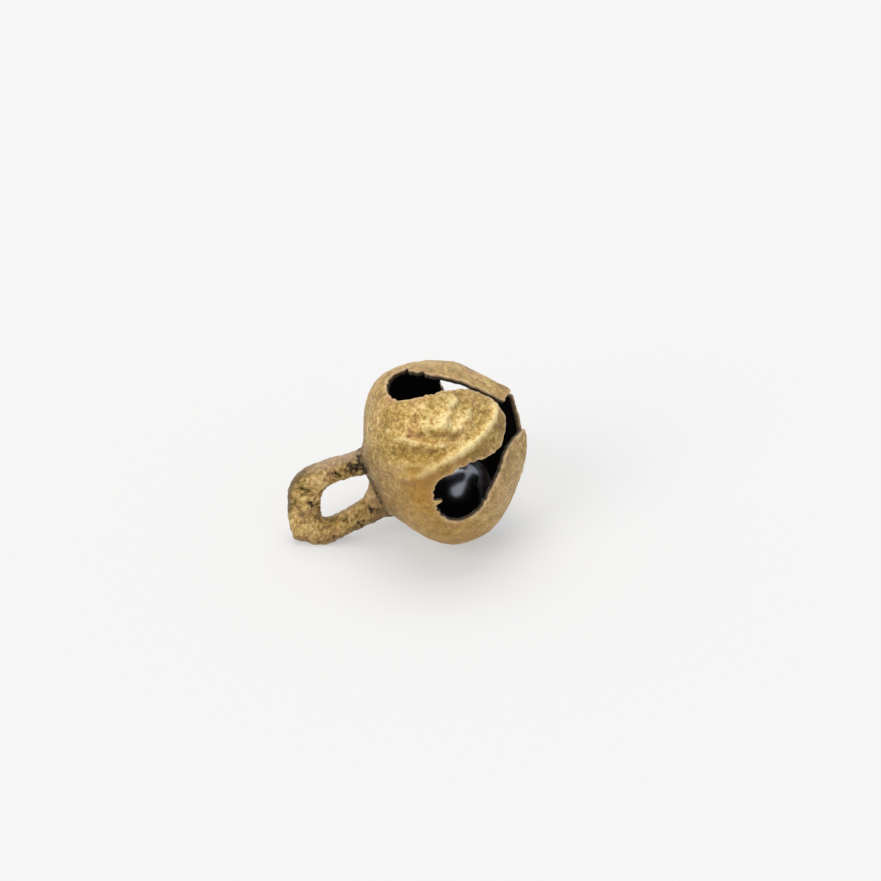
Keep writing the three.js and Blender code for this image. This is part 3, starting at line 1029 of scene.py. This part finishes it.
# %% Tree for the cast skin, lumps, grain and pits
cast_skin, given, result = new_tree("cast_skin", {
    "Lump Size": "Float", "Lump Height": "Float", "Grain Size": "Float", "Grain Height": "Float",
    "Pit Size": "Float", "Pit Depth": "Float", "Seed": "Float", "Lie": "Rotation", "Place": "Vector",
    "Metal": "Material", "Inside Metal": "Material",
})
size = given.outputs
place = cast_skin.nodes.new("GeometryNodeInputPosition").outputs[0]


def seeded_noise(size_socket, detail, seed_shift):
    """Noise about 0 with spots of the given size, its own for each seed."""
    spots = add_node(cast_skin, "ShaderNodeTexNoise", {
        "Vector": place, "W": calc(cast_skin, "ADD", size["Seed"], seed_shift),
        "Scale": calc(cast_skin, "DIVIDE", 1.0, size_socket), "Detail": detail,
    }, noise_dimensions="4D")
    return calc(cast_skin, "SUBTRACT", spots, 0.5)


STRAY = 0.8 * MM
lumps = calc(cast_skin, "MULTIPLY", seeded_noise(size["Lump Size"], 2.0, 0.0), size["Lump Height"])
grains = calc(cast_skin, "MULTIPLY", seeded_noise(size["Grain Size"], 3.0, 7.0), size["Grain Height"])
stray = add_node(cast_skin, "ShaderNodeVectorMath", {
    0: seeded_noise(size["Grain Size"], 2.0, 21.0), 1: (STRAY, -STRAY, STRAY), 2: place,
}, operation="MULTIPLY_ADD")
to_pit = add_node(cast_skin, "ShaderNodeTexVoronoi", {
    "Vector": stray, "W": size["Seed"], "Scale": calc(cast_skin, "DIVIDE", 1.0, size["Pit Size"]),
}, voronoi_dimensions="4D")
hollow = calc(cast_skin, "MAXIMUM", calc(cast_skin, "SUBTRACT", 0.5, to_pit), 0.0)
patch = calc(cast_skin, "MAXIMUM", seeded_noise(size["Lump Size"], 1.0, 13.0), 0.0)
pitted = calc(cast_skin, "ADD", patch, kept_number(cast_skin, "pitted"))
pits = calc(cast_skin, "MULTIPLY", calc(cast_skin, "MULTIPLY", hollow, pitted), size["Pit Depth"])
skin_height = calc(cast_skin, "SUBTRACT", calc(cast_skin, "ADD", lumps, grains), pits)
lively = calc(cast_skin, "SUBTRACT", 1.0, kept_number(cast_skin, "calm"))
skin_height = calc(cast_skin, "MULTIPLY", skin_height, lively)
print("skin with", len(cast_skin.nodes), "nodes")

# %% Tree for the cast skin, pushing the points
INSIDE_QUIET = 0.7
LID_BLUR = 12
inner = kept_number(cast_skin, "inside")
body = keep_number(cast_skin, size["Geometry"], "skin", calc(cast_skin, "DIVIDE", skin_height, MM))
body = keep_number(cast_skin, body, "inward", inner)
quieter_inside = calc(cast_skin, "MULTIPLY_ADD", inner, -INSIDE_QUIET, 1.0)
push = add_node(cast_skin, "ShaderNodeVectorMath", {
    0: cast_skin.nodes.new("GeometryNodeInputNormal").outputs["Normal"],
    "Scale": calc(cast_skin, "MULTIPLY", skin_height, quieter_inside),
}, operation="SCALE")
outer_only = calc(cast_skin, "SUBTRACT", 1.0, inner)
beat = add_node(cast_skin, "ShaderNodeVectorMath", {
    0: kept_number(cast_skin, "outward", "FLOAT_VECTOR"),
    1: calc(cast_skin, "MULTIPLY", kept_number(cast_skin, "raised"), outer_only),
    2: push,
}, operation="MULTIPLY_ADD")
body = add_node(cast_skin, "GeometryNodeSetPosition", {"Geometry": body, "Offset": beat})
under_lid = calc(cast_skin, "MULTIPLY", kept_number(cast_skin, "lid"), inner)
blurred = add_node(cast_skin, "GeometryNodeBlurAttribute", {
    "Value": place, "Iterations": LID_BLUR, "Weight": under_lid,
}, data_type="FLOAT_VECTOR")
body = add_node(cast_skin, "GeometryNodeSetPosition", {"Geometry": body, "Position": blurred})
print("skin and pushes with", len(cast_skin.nodes), "nodes")

# %% Tree for the cast skin, laying the piece down and giving it its finishes
INNER_FACES = 0.75
body = add_node(cast_skin, "GeometryNodeTransform", {
    "Geometry": body, "Rotation": size["Lie"], "Translation": size["Place"],
})
spot = cast_skin.nodes.new("ShaderNodeSeparateXYZ")
feed(cast_skin, spot.inputs[0], place)
flattened = add_node(cast_skin, "ShaderNodeCombineXYZ", {
    "X": spot.outputs["X"], "Y": spot.outputs["Y"],
    "Z": calc(cast_skin, "MAXIMUM", spot.outputs["Z"], 0.0),
})
body = add_node(cast_skin, "GeometryNodeSetPosition", {"Geometry": body, "Position": flattened})
body = add_node(cast_skin, "GeometryNodeRealizeInstances", {"Geometry": body})
body = add_node(cast_skin, "GeometryNodeSetMaterial", {"Geometry": body, "Material": size["Metal"]})
body = add_node(cast_skin, "GeometryNodeSetMaterial", {
    "Geometry": body, "Material": size["Inside Metal"],
    "Selection": calc(cast_skin, "GREATER_THAN", inner, INNER_FACES),
})
feed(cast_skin, result.inputs["Geometry"], body)
print("cast_skin has", len(cast_skin.nodes), "nodes")

# %% [markdown]
# ## Shell
# On the real bell the crown and the four petals are one casting, so they are one piece here. The modifiers
# now run in order: roll, wall, skin. They could stay live, but the piece has to travel without its trees,
# so the evaluated result becomes a plain mesh.

# %% Finish the shell


def settle(maker, name):
    """The maker's evaluated result as a plain, smooth piece, with the maker removed."""
    seen = maker.evaluated_get(bpy.context.evaluated_depsgraph_get())
    mesh = bpy.data.meshes.new_from_object(seen)
    mesh.name = name
    mesh.polygons.foreach_set("use_smooth", [True] * len(mesh.polygons))
    piece = bpy.data.objects.new(name, mesh)
    bpy.context.scene.collection.objects.link(piece)
    bpy.data.objects.remove(maker)
    mesh.calc_loop_triangles()
    print(name, "has", len(mesh.loop_triangles), "triangles")
    return piece


LIE = lay_down.to_euler()
add_tree(blank, cast_skin, {
    "Lump Size": 1.4 * MM, "Lump Height": 0.26 * MM, "Grain Size": 0.5 * MM, "Grain Height": 0.2 * MM,
    "Pit Size": 0.7 * MM, "Pit Depth": 0.9 * MM, "Seed": 3.0, "Lie": LIE, "Place": belly_centre,
    "Metal": old_brass, "Inside Metal": painted_shade_inside,
})
shell = settle(blank, "shell")
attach(shell, "bell")
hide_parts("crown", "petal_upper_front", "petal_upper_rear", "petal_lower_front", "petal_lower_rear")

# %% [markdown]
# ## Hanging loop
# The loop is a flat bar that was bent or cast round an eye, with a blunt, slanted end. Its outer outline and
# its eye are two closed curves in the loop's own plane, and the bar's section between them is a rounded
# rectangle. Sweeping a fixed section along one path would keep the bar equally wide, which it isn't.

# %% Outlines of the loop, across and up from the land in mm
LOOP_DEPTH = 2.2
EYE_MIDDLE = (0.2, 3.4)
OUTER = [(3.3, -0.15), (3.4, 1.4), (3.6, 2.8), (3.8, 4.2), (3.85, 5.6), (3.5, 7.05), (2.75, 8.15),
         (1.35, 8.9), (-0.25, 9.5), (-1.7, 9.75), (-2.5, 8.95), (-3.2, 8.1), (-3.6, 6.9), (-3.6, 5.0),
         (-3.6, 3.0), (-3.6, 1.0), (-3.8, -0.25), (-1.6, 0.3), (0, 0.35), (1.6, 0.3)]
EYE = [(0.75, 0.6), (1.08, 1.0), (1.25, 1.95), (1.4, 2.9), (1.45, 3.9), (1.35, 4.8), (0.95, 5.5),
       (0.05, 6.05), (-0.8, 6.4), (-1.2, 6.3), (-1.38, 5.95), (-1.42, 5.3), (-1.4, 4.4), (-1.3, 3.4),
       (-1.15, 2.5), (-0.85, 1.75), (-0.3, 1.15), (0.25, 0.75)]
LOOP_STEPS = 340
SECTION_STEPS = 76
RING_POINTS = 600
SQUARENESS = 3.2


def ring_radius(outline, turns):
    """How far a closed outline lies from the eye's middle, in each direction."""
    line = smooth_line(outline + [outline[0]], RING_POINTS) - np.array(EYE_MIDDLE)
    directions = np.arctan2(line[:, 1], line[:, 0])
    rising = np.argsort(directions)
    return np.interp(turns, directions[rising], np.hypot(*line.T)[rising], period=2 * math.pi)


turns = np.linspace(-math.pi, math.pi, LOOP_STEPS, endpoint=False)
bar_inner = ring_radius(EYE, turns)
bar_outer = ring_radius(OUTER, turns)
bar_width = bar_outer - bar_inner
section = np.linspace(0, 2 * math.pi, SECTION_STEPS, endpoint=False)
section_out = np.sign(np.cos(section)) * np.abs(np.cos(section)) ** (2 / SQUARENESS)
section_deep = np.sign(np.sin(section)) * np.abs(np.sin(section)) ** (2 / SQUARENESS)
print("bar from", bar_width.min().round(2), "to", bar_width.max().round(2), "mm wide")

# %% Mesh of the loop
middle = (bar_inner + bar_outer)[:, None] / 2
reach = middle + bar_width[:, None] / 2 * section_out[None]
loop_wide = EYE_MIDDLE[0] + reach * np.cos(turns)[:, None]
loop_high = EYE_MIDDLE[1] + reach * np.sin(turns)[:, None]
loop_deep = np.repeat(section_deep[None] * LOOP_DEPTH / 2, LOOP_STEPS, 0)
loop_points = np.stack([
    loop_wide * math.cos(LOOP_TURN) - loop_deep * math.sin(LOOP_TURN),
    loop_wide * math.sin(LOOP_TURN) + loop_deep * math.cos(LOOP_TURN),
    loop_high + CROWN_HEIGHT,
], 2).reshape(-1, 3)
loop_faces = []
for i in range(LOOP_STEPS):
    for j in range(SECTION_STEPS):
        here_row = i * SECTION_STEPS
        next_row = (i + 1) % LOOP_STEPS * SECTION_STEPS
        beside = (j + 1) % SECTION_STEPS
        loop_faces.append((here_row + j, here_row + beside, next_row + beside, next_row + j))
bar_mesh = bpy.data.meshes.new("bar")
bar_mesh.from_pydata((loop_points * MM).tolist(), [], loop_faces)
bar = bpy.data.objects.new("bar", bar_mesh)
bpy.context.scene.collection.objects.link(bar)
print("bar:", len(loop_faces), "faces")

# %% [markdown]
# ## Wear and painted shade of the loop
# The loop is rougher than the shell. Its pits lie in patches and hold soot and painted shade, the wall that
# looks up is dusty grey brown, and the end, the foot and the lower limb are darker as painted shade. Each
# place is a soft spot or a stretch of the bar. A mask painted by hand could hold them too, but these move
# with the bar.

# %% Pitted spots, and spots of soot and painted shade, on the loop: across and up from the land, then spread in mm
PITTED = [(2.1, 0.7, 1.0), (0.5, 6.5, 0.7), (2.3, 3.0, 0.9), (1.8, 6.2, 0.7), (-2.4, 2.0, 0.8),
          (-2.6, 6.0, 0.8)]
SOOT_AND_SHADE_SPOTS = [(2.1, 0.8, 0.9), (2.2, 1.9, 0.5), (0.6, 6.5, 0.7), (2.3, 3.4, 0.4), (-2.3, 1.6, 0.5),
         (-2.9, 3.2, 0.5), (-2.1, 4.4, 0.4), (-2.9, 6.0, 0.4)]
PITTED_ALL_OVER = 0.25
point_across = loop_wide.ravel()
point_up = loop_high.ravel()


def spread_over(spots):
    """Soft round spots on the loop, added up."""
    total = np.zeros(len(point_across))
    for wide, high, spread in spots:
        total += np.exp(-((point_across - wide) ** 2 + (point_up - high) ** 2) / spread**2)
    return total


pitting = PITTED_ALL_OVER + spread_over(PITTED)
print("pitted up to", pitting.max().round(2))

# %% Dirt and painted shade on stretches of the loop
FAR_END_FROM = 5.2
FOOT_RUN = 0.9
outer_wall = np.tile(section_out, LOOP_STEPS)
upper_side = np.clip(point_across, 0, 1)
far_end = 1 / (1 + np.exp(-2.5 * (point_up - FAR_END_FROM)))
foot = np.exp(-np.maximum(point_up, 0) / FOOT_RUN)
upper_wall = np.clip(outer_wall * 2.5 - 0.6, 0, 1) * upper_side
end_wall = np.clip(outer_wall * 4 - 2.4, 0, 1) * upper_side * far_end
lower_limb = np.clip(-point_across - 1.2, 0, 1)
lower_wall = np.clip(outer_wall * 2.5 - 0.9, 0, 1) * np.clip(-point_across - 1, 0, 1)
# Painted shade on the far end's outer wall, the lower limb, its lower wall and the foot; dirt on the upper
# wall.
write_numbers(bar_mesh, {
    "pitted": pitting,
    "soot_and_shade": spread_over(SOOT_AND_SHADE_SPOTS) + 0.6 * foot,
    "dirt_and_shade": 1.8 * upper_wall * (1 - far_end) + 0.8 * foot,
    "painted_shade": 1.4 * end_wall + 0.2 * lower_limb + 0.6 * lower_wall + 0.9 * np.sqrt(foot),
    "painted_warm_shade": 0.2 * lower_limb,
})
print("points near the foot:", int((foot > 0.5).sum()))

# %% Finish the loop
add_tree(bar, cast_skin, {
    "Lump Size": 0.9 * MM, "Lump Height": 0.34 * MM, "Grain Size": 0.5 * MM, "Grain Height": 0.36 * MM,
    "Pit Size": 0.7 * MM, "Pit Depth": 0.8 * MM, "Seed": 8.0, "Lie": LIE, "Place": belly_centre,
    "Metal": pitted_brass, "Inside Metal": painted_shade_inside,
})
loop = settle(bar, "loop")
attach(loop, "bell")
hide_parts("hanging_loop")

# %% [markdown]
# ## Pellet
# The pellet is a loose steel ball. Where it rubs on the wall it is dark steel, smooth enough to mirror the
# daylight that comes in by the slot, and on the side of the mouth it is dull, with painted shade. A globe has
# crowded poles, so this ball is a cube blown up to a sphere, with even faces all over.

# %% Steel ball
ball_mesh = bpy.data.meshes.new("ball")
BALL_CUTS = 48
BALL_SHARE = 0.998
cells = np.tan(np.linspace(-math.pi / 4, math.pi / 4, BALL_CUTS + 1))
flat_a, flat_b = np.meshgrid(cells, cells, indexing="ij")
sides = []
for axis in range(3):
    for sign in (1, -1):
        cube = np.zeros((BALL_CUTS + 1, BALL_CUTS + 1, 3))
        cube[..., axis] = sign
        cube[..., (axis + 1) % 3] = flat_a * sign
        cube[..., (axis + 2) % 3] = flat_b
        sides.append(cube.reshape(-1, 3))
ball_points = np.vstack(sides)
ball_points /= np.linalg.norm(ball_points, axis=1)[:, None]
ball_faces = []
for side in range(6):
    base = side * (BALL_CUTS + 1) ** 2
    for i in range(BALL_CUTS):
        for j in range(BALL_CUTS):
            corner = base + i * (BALL_CUTS + 1) + j
            ball_faces.append((corner, corner + BALL_CUTS + 1, corner + BALL_CUTS + 2, corner + 1))
ball_points = ball_points * pellet_radius * BALL_SHARE + np.array(pellet_centre)
ball_mesh.from_pydata(ball_points.tolist(), [], ball_faces)
pellet = bpy.data.objects.new("steel_pellet", ball_mesh)
bpy.context.scene.collection.objects.link(pellet)
welder = pellet.modifiers.new("weld", "WELD")
welder.merge_threshold = WELD
pellet = settle(pellet, "steel_ball")

# %% Dark steel, with painted shade towards the mouth
MOUTH_SIDE_SHADE_COLOUR = (0.03, 0.022, 0.018, 1)
dark_steel, tree, shader, here = new_material("dark_steel")
smear = noise(tree, here, 1.5, 3.0)
steel = ramp(tree, smear, [(0.3, (0.3, 0.31, 0.36)), (0.7, (0.42, 0.43, 0.48))])
spot = tree.nodes.new("ShaderNodeSeparateXYZ")
feed(tree, spot.inputs[0], here)
to_mouth = calc(tree, "DIVIDE", calc(tree, "SUBTRACT", spot.outputs["X"], pellet_centre.x), pellet_radius)
uneven = calc(tree, "MULTIPLY_ADD", smear, 2.0, -2.9)
# Painted shade: towards the mouth the ball turns dark and dull.
mouth_side_shade = up_to(tree, calc(tree, "MULTIPLY_ADD", to_mouth, 4.0, uneven), 1.0)
feed(tree, shader.inputs["Base Color"], mix_colour(tree, mouth_side_shade, steel, MOUTH_SIDE_SHADE_COLOUR))
feed(tree, shader.inputs["Metallic"], calc(tree, "MULTIPLY_ADD", mouth_side_shade, -1.0, 1.0))
bare_roughness = calc(tree, "MULTIPLY_ADD", smear, 0.1, 0.2)
feed(tree, shader.inputs["Roughness"], calc(tree, "MULTIPLY_ADD", mouth_side_shade, 0.5, bare_roughness))
shader.inputs["Specular IOR Level"].default_value = 0.2
pellet.data.materials.append(dark_steel)
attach(pellet, "pellet")
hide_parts("pellet")
print("dark_steel has", len(tree.nodes), "nodes")
